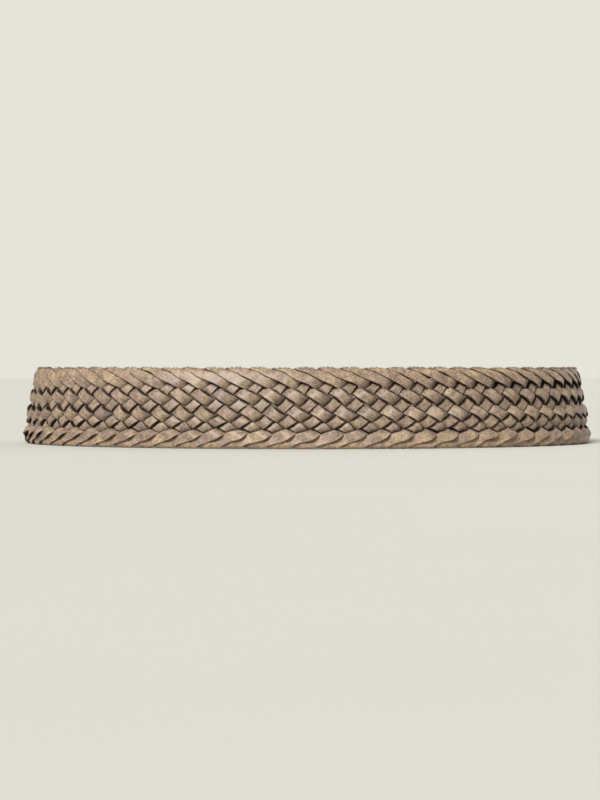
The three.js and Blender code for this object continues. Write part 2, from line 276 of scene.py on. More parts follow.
class Oval:
    """The oval loop: finds the place of a point given along it, above its foot and out of it."""

    STEPS = 3600

    def __init__(self, loop, clasp):
        self.sizes = loop
        self.turns = np.linspace(-math.pi / 2, 1.5 * math.pi, self.STEPS + 1)
        ring = [loop.half_width * np.cos(self.turns), loop.half_depth * np.sin(self.turns)]
        self.lengths = lengths_along(np.stack(ring, 1))
        self.length = self.lengths[-1]
        self.bar_x = (clasp.width - clasp.bar) / 2
        self.centre = self.find_centre()

    def find_centre(self):
        """The middle of each of the clasp's two upright bars lies on the oval."""
        low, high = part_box("clasp")
        middle = (low + high) / 2
        return middle.x, middle.y - self.depth_at(self.bar_x)

    def depth_at(self, x):
        return self.sizes.half_depth * math.sqrt(1 - (x / self.sizes.half_width) ** 2)

    def along_at(self, x):
        """How far along the loop the front's point with this x lies."""
        turn = math.acos(x / self.sizes.half_width)
        return float(np.interp(turn, self.turns, self.lengths))

    def lean(self, height):
        """How far out the band's middle stands at a height."""
        return math.tan(self.sizes.flare) * (self.sizes.height / 2 - height)

    def place(self, along, height, out):
        """Points of the shared frame. The arrays have one shape; a last axis of three is added."""
        turn = np.interp(np.mod(along, self.length), self.lengths, self.turns)
        cos = np.cos(turn)
        sin = np.sin(turn)
        normal = np.stack([cos / self.sizes.half_width, sin / self.sizes.half_depth], -1)
        normal /= np.linalg.norm(normal, axis=-1, keepdims=True)
        reach = out + self.lean(height)
        x = self.centre[0] + self.sizes.half_width * cos + normal[..., 0] * reach
        y = self.centre[1] + self.sizes.half_depth * sin + normal[..., 1] * reach
        return np.stack([x, y, np.broadcast_to(height, x.shape)], -1)


class Course:
    """The way of one strand from a fold over the upper edge to the next, on the flat belt.

    Rolled out flat over the edges the strand hardly bends, and its reach across the belt only
    grows: it falls to the lower fold and then rises to the next upper one. All strands take this
    way, each one pitch further along the belt than the one before it. The phase is the length
    along the strand.
    """

    STEP = 0.25 * MM
    FLOOR_GAP = 0.05 * MM
    PATH_SPREAD = 1.3 * MM
    SLANT_SPREAD = 1.2 * MM
    WIDTH_SPREAD = 1.0 * MM
    EASE = 0.3                 # share of a change in width that is made halfway between two bends

    def __init__(self, loop, braid):
        self.braid = braid
        self.shift = braid.strands * braid.pitch
        self.low = braid.thickness / 2 + self.FLOOR_GAP - braid.fold
        self.deep = loop.height - 2 * self.low
        self.around = 2 * self.deep
        bends = self.bends()

        def column(name, growth=0.0):
            values = [getattr(bend, name) for bend in bends]
            return np.array(values + [values[0] + growth])

        along = column("along", self.shift)
        reach = column("reach", self.around)
        travelled = np.concatenate([[0], np.cumsum(np.hypot(np.diff(along), np.diff(reach)))])
        self.total = travelled[-1]
        self.count = int(round(self.total / self.STEP))
        self.step = self.total / self.count
        self.phase = np.arange(self.count) * self.step

        def smoothed(values, spread, growth=0.0):
            rows = np.interp(self.phase, travelled, values)
            return smooth_round(rows, spread, self.step, growth)

        def eased(values):
            """Widths that keep near the smaller one up to halfway to the next bend."""
            narrow = np.minimum(values[:-1], values[1:])
            wide = np.maximum(values[:-1], values[1:])
            ranks = range(1, len(values))
            halfway = np.insert(travelled, ranks, (travelled[:-1] + travelled[1:]) / 2)
            widths = np.insert(values, ranks, narrow + (wide - narrow) * self.EASE)
            rows = np.interp(self.phase, halfway, widths)
            return smooth_round(rows, self.WIDTH_SPREAD, self.step)

        self.along = smoothed(along, self.PATH_SPREAD, self.shift)
        self.reach = smoothed(reach, self.PATH_SPREAD, self.around)
        self.slant = smoothed(self.slants(bends), self.SLANT_SPREAD)
        self.width = eased(column("width"))
        self.back = eased(column("back"))
        self.tilt = smoothed(column("tilt"), self.WIDTH_SPREAD)
        self.rest = smoothed(column("rest"), self.WIDTH_SPREAD)
        run = np.roll(self.along, -1) - np.roll(self.along, 1)
        rise = np.roll(self.reach, -1) - np.roll(self.reach, 1)
        for ways, growth in ((run, self.shift), (rise, self.around)):
            ways[0] += growth
            ways[-1] += growth
        speed = np.hypot(run, rise)
        self.run = run / speed
        self.rise = rise / speed
        self.settle()

    def falling_run(self, row):
        """How far along the belt a falling strand meets a row."""
        return np.interp(row, range(len(ROWS)), ROW_RUNS) * self.braid.pitch

    def rising_run(self, row):
        """How far along the belt the same strand, rising again, meets it."""
        return self.falling_run(row) + (self.braid.strands - row) * self.braid.pitch

    def row_height(self, row):
        return np.interp(row, range(len(ROWS)), ROW_HEIGHTS)

    def heading(self, row, run):
        """Direction in which a strand with this run crosses a row."""
        above = max(row - 0.5, 0)
        below = min(row + 0.5, LAST_ROW)
        way = np.array([run(below) - run(above), self.row_height(below) - self.row_height(above)])
        return way / np.hypot(*way)

    def bends(self):
        """The bends of the middle line, and the line along which the strand is creased at each.

        It is creased along the strands that it crosses and, at the folds, along the belt. The
        width is that of the outer side, and the back is the width of the inner side.
        """
        braid = self.braid
        shingle = -math.tan(braid.shingle)
        found = []

        def fold_over(fold, along, reach, bulge):
            for bend in fold:
                found.append(SimpleNamespace(
                    along=along + bend["ahead"], reach=reach + bend["past"],
                    width=braid.edge_width, back=braid.edge_width,
                    tilt=shingle * bend["tilt"], rest=bulge * bend["bulge"],
                    crease=np.array([1.0, 0.0])))

        def cross(row, run, crossed_run, falls):
            outside = (row in FALLING_OUTSIDE) == falls
            from_low = self.row_height(row) - self.low
            crease = self.heading(row, crossed_run)
            leans = row < WIDE_ROWS[0] if falls else row > WIDE_ROWS[1]
            shown = hidden = braid.edge_width
            rest = 0.0
            if NARROW_ROWS[0] < row < NARROW_ROWS[1]:
                shown = braid.falling_width if falls else braid.rising_width
                if WIDE_ROWS[0] < row < WIDE_ROWS[1]:
                    hidden = braid.inner_width
            elif outside:
                rest = braid.upper_bulge if falls else braid.lower_bulge
            found.append(SimpleNamespace(
                along=run(row), reach=self.deep - from_low if falls else self.deep + from_low,
                width=shown if outside else hidden, back=hidden if outside else shown,
                tilt=shingle if leans else 0.0, rest=rest,
                crease=crease * (1, -1) if falls else crease))

        lower_fold = self.falling_run(LAST_ROW) + LOWER_FOLD_AT
        fold_over(UPPER_FOLD[1:], UPPER_FOLD_AT, 0, braid.upper_bulge)
        for row in FALLING_BENDS:
            cross(row, self.falling_run, self.rising_run, True)
        fold_over(LOWER_FOLD, lower_fold, self.deep, braid.lower_bulge)
        for row in RISING_BENDS:
            cross(row, self.rising_run, self.falling_run, False)
        fold_over(UPPER_FOLD[:1], UPPER_FOLD_AT + self.shift, self.around, braid.upper_bulge)
        return found

    def slants(self, bends):
        """How far a crease runs ahead along the strand for each metre across it."""
        found = []
        for i, bend in enumerate(bends):
            before = bends[i - 1]
            after = bends[(i + 1) % len(bends)]
            ahead = (after.along - before.along) % self.shift
            way = np.array([ahead, (after.reach - before.reach) % self.around])
            way /= np.hypot(*way)
            square = np.array([-way[1], way[0]])
            found.append(float(bend.crease @ way) / float(bend.crease @ square))
        return np.array(found + found[:1])

    def at(self, values, phase, growth=0.0):
        """Values along the strand at any phase; those that grow do so by growth each period."""
        periods = np.floor(phase / self.total)
        inside = phase - periods * self.total
        knots = np.append(self.phase, self.total)
        ends = np.append(values, values[0] + growth)
        return np.interp(inside, knots, ends) + periods * growth

    def height(self, reach):
        """The height at any reach, and how fast it changes: up to 1 rising, down to -1 falling."""
        from_low = np.abs(np.mod(reach, self.around) - self.deep)
        from_high = self.deep - from_low
        low_arc = np.hypot(from_low, self.braid.fold)
        high_arc = np.hypot(from_high, self.braid.fold)
        pace = from_low / low_arc + from_high / high_arc - 1
        rising = np.mod(reach, self.around) > self.deep
        return self.low + low_arc - high_arc + from_high, np.where(rising, pace, -pace)

    def settle(self):
        """Bends the strand out and in, softly, so that its layers clear each other or nearly do."""
        rounds = 300
        pushes = 2
        stiffness = 30.0
        pull = 0.002
        push = 0.45
        soften = 0.4 * MM
        clear = self.braid.thickness + 0.05 * MM
        outer, inner, parted = find_contacts(self)
        # masks of where the strand lies under or against another one, which the painted shade follows
        self.covered = cover(self, inner)
        self.backed = cover(self, outer)
        same = np.eye(self.count)
        bend = np.roll(same, 1, 1) - 2 * same + np.roll(same, -1, 1)
        relax = np.linalg.inv(same * (1 + pull) + stiffness * bend.T @ bend)
        out = self.rest
        for _ in range(rounds):
            out = self.rest + relax @ (out - self.rest)
            for _ in range(pushes):
                lack = np.maximum(clear - parted - (out[outer] - out[inner]), 0)
                up = np.zeros(self.count)
                down = np.zeros(self.count)
                np.maximum.at(up, outer, lack)
                np.maximum.at(down, inner, lack)
                out = out + push * (up - down)
        self.out = smooth_round(out, soften, self.step)


def find_contacts(course):
    """Where falling and rising strands lie on each other, as arrays with an entry for each place.

    They are the steps of the outer and of the inner layer, and how far their tilts part them
    there. All strands are one way shifted by whole pitches, so it is enough to look at one pitch
    of the belt, cut into cells, and to see which layers share a cell.
    """
    cell = 0.4 * MM
    lanes = 13
    outermost = 0.96           # where the last lane to each side runs, as a share of half the width
    widest = 6.9 * MM          # what is wider sinks a little into its neighbours, out of sight
    free = 2.6 * MM            # this near to the folds nothing is pushed
    pitch = course.braid.pitch
    columns = round(pitch / cell)
    rows = []
    for share in np.linspace(-outermost, outermost, lanes):
        across = share * np.minimum(course.width, widest) / 2
        x = course.along - course.rise * across
        far = course.reach + course.run * across
        periods = np.floor(far / course.around)
        x = x - periods * course.shift
        z, pace = course.height(far)
        wrap = np.floor(x / pitch)
        column = np.floor((x - wrap * pitch) / pitch * columns)
        phase = course.phase - across * course.slant
        raised = np.sign(pace) * across * course.tilt
        table = np.stack([column, np.floor(z / cell), wrap, pace < 0, phase, raised], 1)
        from_low = z - course.low
        rows.append(table[(from_low > free) & (from_low < course.deep - free)])
    layers = {}
    for column, level, wrap, falls, phase, raised in np.concatenate(rows):
        layers.setdefault((column, level), {}).setdefault((wrap, falls), []).append((phase, raised))
    places = []
    for cell_layers in layers.values():
        found = [(key, np.mean(spots, axis=0)) for key, spots in sorted(cell_layers.items())]
        for i, first in enumerate(found):
            for second in found[i + 1:]:
                pair = outer_first(first, second, course.braid.strands)
                if pair:
                    (outer, raised_outer), (inner, raised_inner) = pair
                    places.append((outer, inner, raised_outer - raised_inner))
    table = np.array(places)
    steps = np.round(table[:, :2] / course.step).astype(int) % course.count
    return steps[:, 0], steps[:, 1], table[:, 2]


def outer_first(first, second, strands):
    """Puts the outer of two layers first, or returns None where they don't cross.

    Strands that run side by side along an edge only overlap a little, and their tilt parts them.
    """
    (wrap_a, falls_a), spot_a = first
    (wrap_b, falls_b), spot_b = second
    if falls_a == falls_b:
        return None
    if not falls_a:
        wrap_a, spot_a, wrap_b, spot_b = wrap_b, spot_b, wrap_a, spot_a
    row = strands + wrap_a - wrap_b
    if not 0 <= row <= LAST_ROW:
        return None
    return (spot_a, spot_b) if row in FALLING_OUTSIDE else (spot_b, spot_a)


def cover(course, steps):
    """How much of each phase lies against a strand that crosses it, from none to all."""
    spread = 1.0 * MM
    full = 80                  # where contacts lie closer than at this percentile, all of it does
    hits = np.bincount(steps, minlength=course.count).astype(float)
    hits = smooth_round(hits, spread, course.step)
    return np.clip(hits / np.percentile(hits, full), 0, 1)


class Waves:
    """Gentle uneven waves along a strand, made by chance but the same each time."""

    COUNT = 4
    SHORTEST = 13 * MM
    LONGEST = 60 * MM

    def __init__(self, chance, size):
        self.parts = []
        for _ in range(self.COUNT):
            height = size * chance.uniform(0.5, 1) / 2
            length = chance.uniform(self.SHORTEST, self.LONGEST)
            self.parts.append((height, math.tau / length, chance.uniform(0, math.tau)))

    def at(self, phase):
        return sum(height * np.sin(pace * phase + start) for height, pace, start in self.parts)


class Strand:
    """One strand: the common course, its own index and its own small faults."""

    ROUNDS = 12                # more turns of the course than any strand takes
    BOW_REACH = 1.8 * MM       # how far from the belt's edge its bow fades

    def __init__(self, course, index):
        chance = random.Random(index)
        self.course = course
        self.index = index
        self.twist = Waves(chance, math.tan(course.braid.twist))
        self.wander = Waves(chance, course.braid.wander)
        self.uneven = Waves(chance, course.braid.uneven)

    def surface(self, phase, across, lift):
        """Points of the strand on the flat belt: along, height and out.

        Two more rows say how much of the strand is covered there, and how far its face looks
        out, from 1 down to -1.
        """
        course = self.course
        pace = course.height(course.at(course.reach, phase, course.around))[1]
        front = np.clip(0.5 + pace * lift / course.braid.thickness, 0, 1)
        width = course.at(course.width, phase) * front + course.at(course.back, phase) * (1 - front)
        across = across * width / course.braid.edge_width * (1 + self.uneven.at(phase))
        lift = lift + across * (course.at(course.tilt, phase) + self.twist.at(phase))
        run = course.at(course.run, phase)
        rise = course.at(course.rise, phase)
        slant = course.at(course.slant, phase)
        crease = phase - across * slant
        ahead = course.at(course.out, crease + course.step)
        behind = course.at(course.out, crease - course.step)
        slope = (ahead - behind) / (2 * course.step)
        aside = across + self.wander.at(phase)
        along = course.at(course.along, phase, course.shift) - rise * aside
        reach = course.at(course.reach, phase, course.around) + run * aside
        height, pace = course.height(reach)
        height += self.bow(across, height)
        normal = np.stack([
            -pace * slope * (run + slant * rise), -slope * (rise - slant * run), pace])
        normal /= np.linalg.norm(normal, axis=0)
        along = along + self.index * course.braid.pitch + normal[0] * lift
        height = np.maximum(height + normal[1] * lift, 0)
        out = course.at(course.out, crease) + normal[2] * lift
        # how much painted shade the face that looks out and the one that looks in each get
        covered = course.at(course.covered, crease) * front
        covered += course.at(course.backed, crease) * (1 - front)
        return along, height, out, covered, pace

    def bow(self, across, height):
        """How much nearer to the belt's middle a fold's ends lie than its own middle."""
        course = self.course
        share = (2 * across / course.braid.edge_width) ** 2
        low = np.exp(-((height - course.low) / self.BOW_REACH) ** 2)
        high = np.exp(-((height - course.low - course.deep) / self.BOW_REACH) ** 2)
        return course.braid.bow * share * (low - high)

    def span(self, half):
        """The phases at which the strand enters and leaves the braided stretch."""
        course = self.course
        rounds = range(-self.ROUNDS, self.ROUNDS + 1)
        phases = np.concatenate([course.phase + k * course.total for k in rounds])
        alongs = np.concatenate([course.along + k * course.shift for k in rounds])
        alongs += self.index * course.braid.pitch
        return np.interp(-half, alongs, phases), np.interp(half, alongs, phases)


def strip_section(width, thickness, corner, crown):
    """A flat strip's section as rows of across and out, and how much of each is dark cut edge, which
    also stands for painted shade along the strand's sides.
    """
    half = width / 2
    arcs = 3
    lanes = (0.05, 0.27, 0.5, 0.73, 0.95)
    fade = 1.3                 # over 1, so that the cut edge's dark colour, partly painted shade, fades a little inside its corner
    rows = []
    corners = [(1, 1, 0), (-1, 1, 90), (-1, -1, 180), (1, -1, 270)]
    for number, (side, face, start) in enumerate(corners):
        middle = (side * (half - corner), face * (thickness / 2 - corner))
        for k in range(arcs + 1):
            turn = math.radians(start + 90 * k / arcs)
            rows.append([middle[0] + corner * math.cos(turn), middle[1] + corner * math.sin(turn)])
        if number % 2 == 0:
            for lane in lanes:
                rows.append([face * (half - corner) * (1 - 2 * lane), face * thickness / 2])
    section = np.array(rows)
    swell = 1 - (section[:, 0] / half) ** 2
    section[:, 1] += crown * np.clip(swell, 0, 1) * np.sign(section[:, 1])
    inward = half - np.abs(section[:, 0])
    edge = np.clip(fade - inward / corner * fade, 0, 1)
    return section, edge


def ring_faces(count, around):
    """Quads between rings, with the first and the last ring closed by a flat end."""
    i = np.arange(count - 1)[:, None] * around
    k = np.arange(around)[None, :]
    following = (k + 1) % around
    quads = np.stack([i + k, i + following, i + around + following, i + around + k], -1)
    faces = quads.reshape(-1, 4).tolist()
    faces.append(list(range(around))[::-1])
    faces.append([(count - 1) * around + j for j in range(around)])
    return faces


def make_piece(name, points, faces, material):
    """A smooth mesh object that rides on the belt."""
    mesh = bpy.data.meshes.new(name)
    mesh.from_pydata(points.tolist(), [], faces)
    return mesh_piece(name, mesh, material)


def mesh_piece(name, mesh, material):
    """The same from a mesh that is there already."""
    mesh.polygons.foreach_set("use_smooth", [True] * len(mesh.polygons))
    mesh.materials.clear()
    mesh.materials.append(material)
    mesh.update()
    piece = bpy.data.objects.new(name, mesh)
    bpy.context.scene.collection.objects.link(piece)
    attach(piece, BODY)
    return piece


def paint(piece, name, values):
    """Stores a number or a vector for each vertex, for the material to read."""
    kind, key = ("FLOAT", "value") if values.ndim == 1 else ("FLOAT_VECTOR", "vector")
    layer = piece.data.attributes.new(name, kind, "POINT")
    layer.data.foreach_set(key, values.astype(np.float32).ravel())


class BELT_OT_braid(bpy.types.Operator):
    """Build the eleven leather strands of the braid"""
    bl_idname = "belt.braid"
    bl_label = "Braid strands"

    def execute(self, context):
        loop = context.scene.belt_loop
        braid = context.scene.belt_braid
        oval = Oval(loop, context.scene.belt_clasp)
        course = Course(loop, braid)
        material = strand_leather(loop)
        half = (oval.length - loop.front_length) / 2 + braid.hidden
        for index in range(braid.strands):
            make_strand(oval, Strand(course, index), half, material)
        return {"FINISHED"}


def make_strand(oval, strand, half, material):
    """One strand from tab to tab: rings of points round its section, and fibres on its edges."""
    fibre_cut = 0.25           # how much of a cut edge's colour the fibres have
    flesh_gain = 4             # how fast the leather turns to flesh towards the side that looks in
    flesh_start = 0.8          # the leather's middle and a little beyond it have none
    braid = strand.course.braid
    start, end = strand.span(half)
    count = int((end - start) / braid.station)
    section, edge = strip_section(braid.edge_width, braid.thickness, braid.corner, braid.crown)
    around = len(section)
    first = count * around
    fibres = edge_fibres(strand, start, end)
    faces = ring_faces(count, around)
    for k in range(first, first + len(fibres), 4):
        faces += [[k + 2, k + 1, k], [k, k + 1, k + 3], [k + 1, k + 2, k + 3], [k + 2, k, k + 3]]
    phase = np.append(np.repeat(np.linspace(start, end, count), around), fibres[:, 0])
    across = np.append(np.tile(section[:, 0], count), fibres[:, 1])
    lift = np.append(np.tile(section[:, 1], count), fibres[:, 2])
    cut = np.append(np.tile(edge, count), np.full(len(fibres), fibre_cut))
    along, height, out, covered, pace = strand.surface(phase, across, lift)
    flesh = np.clip(-pace * lift / braid.thickness * flesh_gain - flesh_start, 0, 1)
    flesh[first:] = 0
    number = strand.index + 1
    points = oval.place(along, height, out)
    piece = make_piece("leather_strand_%02d" % number, points, faces, material)
    place = np.stack([phase - start + strand.index * PATTERN_STEP, across, lift], 1)
    paint(piece, "leather_place", place)
    # dark cut edges, which also stand for painted shade along the strand's sides
    paint(piece, "cut_edge_and_shade", cut)
    paint(piece, "flesh", flesh)
    # how much of each place lies under another strand, for the painted shade
    paint(piece, "covered", covered)
    paint(piece, "belt_height", height)
    bake_map(piece, count, section)
    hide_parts("strand_%02d" % number)


def edge_fibres(strand, start, end):
    """Loose fibres as thin pyramids: rows of phase, across and lift, four rows for each.

    Some stand on the ridges of the upper folds, the others on the strand's cut edges, most of
    them near the belt's own edges.
    """
    on_ridge = 0.45            # share of them on the ridges
    left_out = 0.7             # share of the others that is left out away from the belt's edges
    shortest = 0.25            # as a share of the longest
    mostly_short = 1.6
    slant = 0.7                # how far a tip leans, as a share of the fibre's length
    rise = 0.5
    spread = 0.8               # share of the cut edge's flat part where fibres grow
    course = strand.course
    braid = course.braid
    chance = random.Random(1000 + strand.index)
    base = braid.fibre_base
    half = braid.edge_width / 2
    face = braid.thickness / 2
    rows = []
    while len(rows) < 4 * braid.fibres:
        length = braid.fibre_length * chance.uniform(shortest, 1) ** mostly_short
        if chance.random() < on_ridge:
            ridge = course.total * math.ceil(chance.uniform(start, end) / course.total)
            across = chance.uniform(-1, 1) * (half - base)
            skew = across * course.at(course.run, ridge) / course.at(course.rise, ridge)
            phase = ridge - skew + chance.uniform(-1, 1) * braid.fold
            if not start < phase < end:
                continue
            lift = base - face
            tip = (phase + length * chance.uniform(-slant, slant), across, lift - length)
            rows += [(phase - base, across, lift), (phase + base, across - base, lift),
                     (phase + base, across + base, lift), tip]
            continue
        phase = chance.uniform(start, end)
        side = chance.choice((-1, 1))
        reach = course.at(course.reach, phase, course.around)
        height, _ = course.height(reach + side * half * course.at(course.run, phase))
        if min(height, course.deep - height) >= braid.edge_width:
            length /= 2
            if chance.random() < left_out:
                continue
        lift = chance.uniform(-spread, spread) * (face - braid.corner)
        root = side * (half - base)
        tip = (phase + length * chance.uniform(-slant, slant), side * (half + length),
               lift + length * chance.uniform(-rise, rise))
        rows += [(phase - base, root, lift), (phase + base, root, lift - side * base),
                 (phase + base, root, lift + side * base), tip]
    return np.array(rows)


def bake_map(piece, count, section):
    """A neat flat layout: the strand's skin in bands, with its ends and fibres in the last band."""
    bands = 8
    fill = 0.96                # share of a band's height that the skin takes up
    margin = 0.001
    foot = 0.02
    end_size = (0.02, 0.8)
    end_places = (0.01, 0.05)
    fibres_from = 0.1
    fibres_wide = 0.9
    triangle = np.array([[0, 0], [0.8, 0], [0.4, 0.8]])
    around = len(section)
    rim = lengths_along(np.concatenate([section, section[:1]]))
    rim = rim / rim[-1] * fill
    length = math.ceil((count - 1) / bands)
    i = np.arange(count - 1)
    band = i // length
    left = (i - band * length) / length
    quads = np.empty((count - 1, around, 4, 2))
    for corners, edge in (((0, 1), left), ((2, 3), left + 1 / length)):
        for corner in corners:
            quads[..., corner, 0] = edge[:, None]
    for corners, level in (((0, 3), rim[:-1]), ((1, 2), rim[1:])):
        for corner in corners:
            quads[..., corner, 1] = level[None, :] + band[:, None]
    spots = quads.reshape(-1, 2)
    span = section.max(0) - section.min(0)
    flat = (section - section.min(0)) / span * end_size
    ends = np.concatenate([flat[::-1] + (end_places[0], bands), flat + (end_places[1], bands)])
    spare = len(piece.data.loops) - len(spots) - len(ends)
    fibres = np.zeros((spare // 12, 4, 3, 2))
    if len(fibres):
        wide = fibres_wide / len(fibres)
        fibres += triangle * (wide, 1) + (fibres_from, bands)
        fibres[..., 0] += np.arange(len(fibres))[:, None, None] * wide
    whole_map = np.concatenate([spots, ends, fibres.reshape(-1, 2)])
    whole_map[:, 0] = whole_map[:, 0] * (1 - 2 * margin) + margin
    whole_map[:, 1] = (whole_map[:, 1] + foot) / (bands + 1)
    layer = piece.data.uv_layers.new(name="OFBake")
    layer.data.foreach_set("uv", whole_map.astype(np.float32).ravel())


class TabCourse:
    """The fold of a tab seen from above: from one leaf's mouth round the bar to the other's.

    Distances run from the mouth towards the clasp.
    """

    SPREAD = 1.1 * MM
    STEP = 0.25 * MM
    LEAD = 6 * MM              # stretch before the mouth that only the smoothing needs
    NECK = math.radians(125)   # turn of the fold on each side of its far end
    ARC_STEPS = 12
    STRAIGHT = 1.75            # from the bar's middle to the sewn leaves, in radii of the fold

    def __init__(self, oval, tab, side):
        self.oval = oval
        self.loop = oval.sizes
        self.tab = tab
        self.side = side
        self.front = oval.length / 2
        self.mouth = self.loop.front_length / 2
        self.end = self.mouth - abs(oval.along_at(oval.bar_x) - self.front)
        self.shoulder = self.end - tab.narrow_length - tab.shoulder    # where the tab turns narrow
        rough = self.rough_line()
        travelled = lengths_along(rough)
        fine = np.arange(0, travelled[-1], self.STEP)
        weights = bell(self.SPREAD, self.STEP)
        line = np.stack([
            np.convolve(np.interp(fine, travelled, rough[:, k]), weights, "valid") for k in (0, 1)], 1)
        self.line = line[line[:, 0] >= 0]
        self.lengths = lengths_along(self.line)
        self.total = self.lengths[-1]

    def rough_line(self):
        """The corners of the fold's middle line, as distance and out."""
        tab = self.tab
        leaf = tab.slot_half + tab.wall / 2
        sewn = tab.sewn_half - tab.wall / 2
        knee = tab.knee_half - tab.wall / 2
        radius = tab.eye_radius + tab.wall / 2
        outer = [
            (-self.LEAD, leaf), (tab.slot_depth, leaf), (tab.slot_depth + tab.knee_length, knee),
            (tab.slot_depth + tab.taper, sewn), (self.end - self.STRAIGHT * radius, sewn)]
        for k in range(self.ARC_STEPS + 1):
            turn = self.NECK * (1 - k / self.ARC_STEPS)
            outer.append((self.end + radius * math.cos(turn), radius * math.sin(turn)))
        inner = [(distance, -out) for distance, out in reversed(outer[:-1])]
        return np.array(outer + inner)

    def at(self, length):
        """Distance and out of the fold's middle, and the direction away from the fold's inside."""
        here, behind, ahead = [
            np.array([np.interp(length + off, self.lengths, self.line[:, k]) for k in (0, 1)])
            for off in (0, -self.STEP, self.STEP)]
        way = ahead - behind
        way /= np.hypot(*way)
        return here[0], here[1], -way[1], way[0]

    def leaf_out(self, distance):
        """How far out the middle of the outer leaf lies."""
        outer = self.line[:len(self.line) // 2]
        return np.interp(distance, outer[:, 0], outer[:, 1])

    def half_height(self, distance):
        """Half the tab's height: it curves down to a narrow end beside the clasp."""
        share = np.clip((distance - self.shoulder) / self.tab.shoulder, 0, 1)
        soft = share * share * (3 - 2 * share)
        return self.loop.height / 2 + soft * (self.tab.narrow_height - self.loop.height) / 2

    def place(self, distance, height, out):
        along = self.front + self.side * (self.mouth - distance)
        return self.oval.place(along, height, out)


def tab_courses(scene):
    """The left and the right tab's name and course."""
    oval = Oval(scene.belt_loop, scene.belt_clasp)
    return [(name, TabCourse(oval, scene.belt_tab, side)) for name, side in (("left", 1), ("right", -1))]


def tab_section(tab):
    """Rows round a tab's wall: which end, inset from it, how far out, and how much is cut edge."""
    lanes = [1.3 * MM, 2.2 * MM, 3.0 * MM, 3.8 * MM, 4.8 * MM, 8 * MM, 13 * MM]
    corner = tab.corner
    arc = np.radians(np.linspace(0, 90, 4))
    rows = []

    def rounded(end, face, turns):
        """A long edge, rounded: no turn is on the face, a full one on the cut edge."""
        for turn in turns:
            out = face * (tab.wall / 2 - corner + corner * math.cos(turn))
            rows.append((end, corner - corner * math.sin(turn), out, math.sin(turn)))

    def flat(face, first_end):
        """One face, from the lane beside one end over the middle to the lane beside the other."""
        out = face * tab.wall / 2
        rows.extend((first_end, inset, out, 0.0) for inset in lanes)
        rows.append((0, 0.0, out, 0.0))
        rows.extend((-first_end, inset, out, 0.0) for inset in reversed(lanes))

    rounded(1, 1, arc)
    rounded(1, -1, arc[::-1])
    flat(-1, 1)
    rounded(-1, -1, arc)
    rounded(-1, 1, arc[::-1])
    flat(1, -1)
    return np.array(rows)


class BELT_OT_tabs(bpy.types.Operator):
    """Build the two folded leather tabs"""
    bl_idname = "belt.tabs"
    bl_label = "Tabs"

    def execute(self, context):
        material = tab_leather()
        for name, course in tab_courses(context.scene):
            make_tab(name, course, material)
        return {"FINISHED"}


def make_tab(name, course, material):
    """A leather strap folded round the clasp's bar, with grooves where its seams are pulled in."""
    step = 1.0 * MM
    rim = np.array([0.0, 0.12, 0.4]) * MM
    inner = 1.2 * MM           # from the rim to the first even step
    rounding = 0.45 * MM       # of the leather's cut ends
    most_round = 0.8           # share of that rounding which the outermost ring has
    seam_from = 2 * MM         # from the mouth
    groove_width = 0.8 * MM
    deep, shallow = 1.0, 0.3   # the groove's share of its depth under a stitch and between two
    cut_full, cut_depth = 1.5, 0.3 * MM    # how the colour of the cut fades in from the ends
    lining_fade = 2 * MM       # in which outer leather turns to lining on the inner leaf
    tab = course.tab
    loop = course.loop
    inside = np.linspace(inner, course.total - inner, int(course.total / step))
    length = np.concatenate([rim, inside, course.total - rim[::-1]])
    section = tab_section(tab)
    distance, out, aside, away = [values[:, None] for values in course.at(length)]
    end, inset, lift, edge = [section[None, :, k] for k in range(4)]
    near_end = np.minimum(length, course.total - length)[:, None]
    thin = np.sqrt(1 - np.clip(1 - near_end / rounding, 0, most_round) ** 2)
    sewn = np.clip((distance - seam_from) / MM, 0, 1) * np.clip((course.shoulder - distance) / MM, 0, 1)
    wave = np.cos(math.tau * distance / tab.stitch_pitch)
    pull = (deep + shallow) / 2 + (deep - shallow) / 2 * wave
    groove = np.exp(-((inset - tab.seam_inset) / groove_width) ** 2) * np.abs(end) * (lift > 0)
    lift = lift * thin - tab.pucker * groove * pull * sewn
    height = loop.height / 2 + end * (course.half_height(distance) - inset)
    points = course.place(distance + aside * lift, height, out + away * lift)
    faces = ring_faces(len(length), len(section))
    piece = make_piece("folded_tab_%s" % name, points.reshape(-1, 3), faces, material)
    if course.side < 0:
        piece.data.flip_normals()
    pattern = (TAB_PATTERN + course.side) * PATTERN_STEP
    place = np.stack(np.broadcast_arrays(length[:, None] + pattern, height, lift), -1)
    cut = np.maximum(edge, np.clip(cut_full - near_end / cut_depth, 0, 1))
    between = section[None, :, 2] < 0
    lining = np.clip(-out / lining_fade, 0, 1)
    paint(piece, "leather_place", place.reshape(-1, 3))
    paint(piece, "cut_edge_and_shade", cut.ravel())
    paint(piece, "flesh", np.maximum(between, lining).ravel())
    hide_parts("tab_%s" % name)


class BELT_OT_stitches(bpy.types.Operator):
    """Build the rows of stitches on both faces of each tab"""
    bl_idname = "belt.stitches"
    bl_label = "Stitches"

    def execute(self, context):
        material = thread_material()
        for name, course in tab_courses(context.scene):
            make_stitches(name, course, material)
        return {"FINISHED"}


def stitch_ends(course):
    """Both ends of each stitch, as distance from the mouth and height."""
    tab = course.tab
    first = 4 * MM
    last = course.shoulder - 1 * MM
    middle = course.loop.height / 2
    seam = middle - tab.seam_inset
    reach = tab.stitch_length / 2
    found = []
    for spot in np.arange(first + tab.stitch_pitch, last, tab.stitch_pitch):
        for level in (middle - seam, middle + seam):
            found.append(((spot - reach, level), (spot + reach, level)))
    for level in np.arange(-seam + tab.stitch_pitch / 2, seam, tab.stitch_pitch):
        for spot in (first, last):
            found.append(((spot, middle + level - reach), (spot, middle + level + reach)))
    return found


